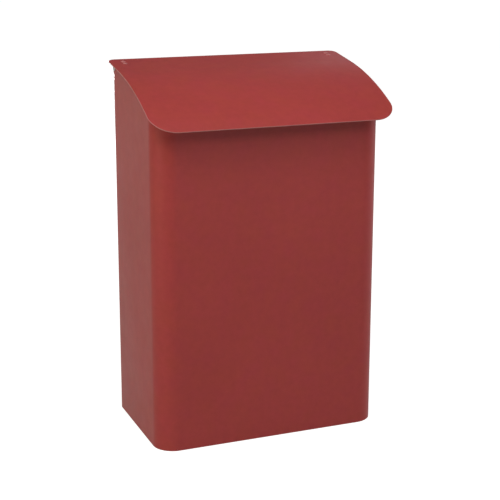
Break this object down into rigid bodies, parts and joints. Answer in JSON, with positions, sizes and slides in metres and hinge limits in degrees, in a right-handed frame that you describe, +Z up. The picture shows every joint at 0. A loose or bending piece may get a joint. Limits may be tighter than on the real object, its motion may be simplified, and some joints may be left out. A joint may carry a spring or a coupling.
{
  "type": "wall mounted post box",
  "caption": "Wall mounted post box of painted sheet steel: upright body with large rounded front corners and a rolled lid, hinged at the back, that overhangs the front and sides.",
  "frame": {"origin": "centre of the four wall holes, on the wall's surface", "axes": "+X to the viewer's right, +Y into the wall, +Z up"},
  "size_m": [0.297, 0.1887, 0.44],
  "materials": {
    "red_paint": "satin powder coat with a fine mottle",
    "bare_steel": "bare stainless, lightly weathered",
    "bare_aluminium": "bare, as set",
    "nylon": "natural nylon"
  },
  "bodies": {
    "box": {"body_shell": "red_paint", "back_panel": "red_paint", "floor_pan": "red_paint", "back_rivet_left_bottom": "bare_aluminium", "back_rivet_left_top": "bare_aluminium", "back_rivet_right_bottom": "bare_aluminium", "back_rivet_right_top": "bare_aluminium", "pivot_screw_left": "bare_steel", "pivot_screw_right": "bare_steel", "pivot_nut_left": "bare_steel", "pivot_nut_right": "bare_steel", "pivot_washer_left": "nylon", "pivot_washer_right": "nylon"},
    "lid": {"lid": "red_paint", "hinge_lug_left": "red_paint", "hinge_lug_right": "red_paint", "lug_rivet_rear_left": "red_paint", "lug_rivet_rear_right": "red_paint", "lug_rivet_front_left": "red_paint", "lug_rivet_front_right": "red_paint"}
  },
  "joints": [
    {"name": "lid_hinge", "type": "hinge", "parent": "box", "child": "lid", "pos_m": [0, -0.01202, 0.21491], "axis": [-1, 0, 0], "range_deg": [0, 102]}
  ]
}
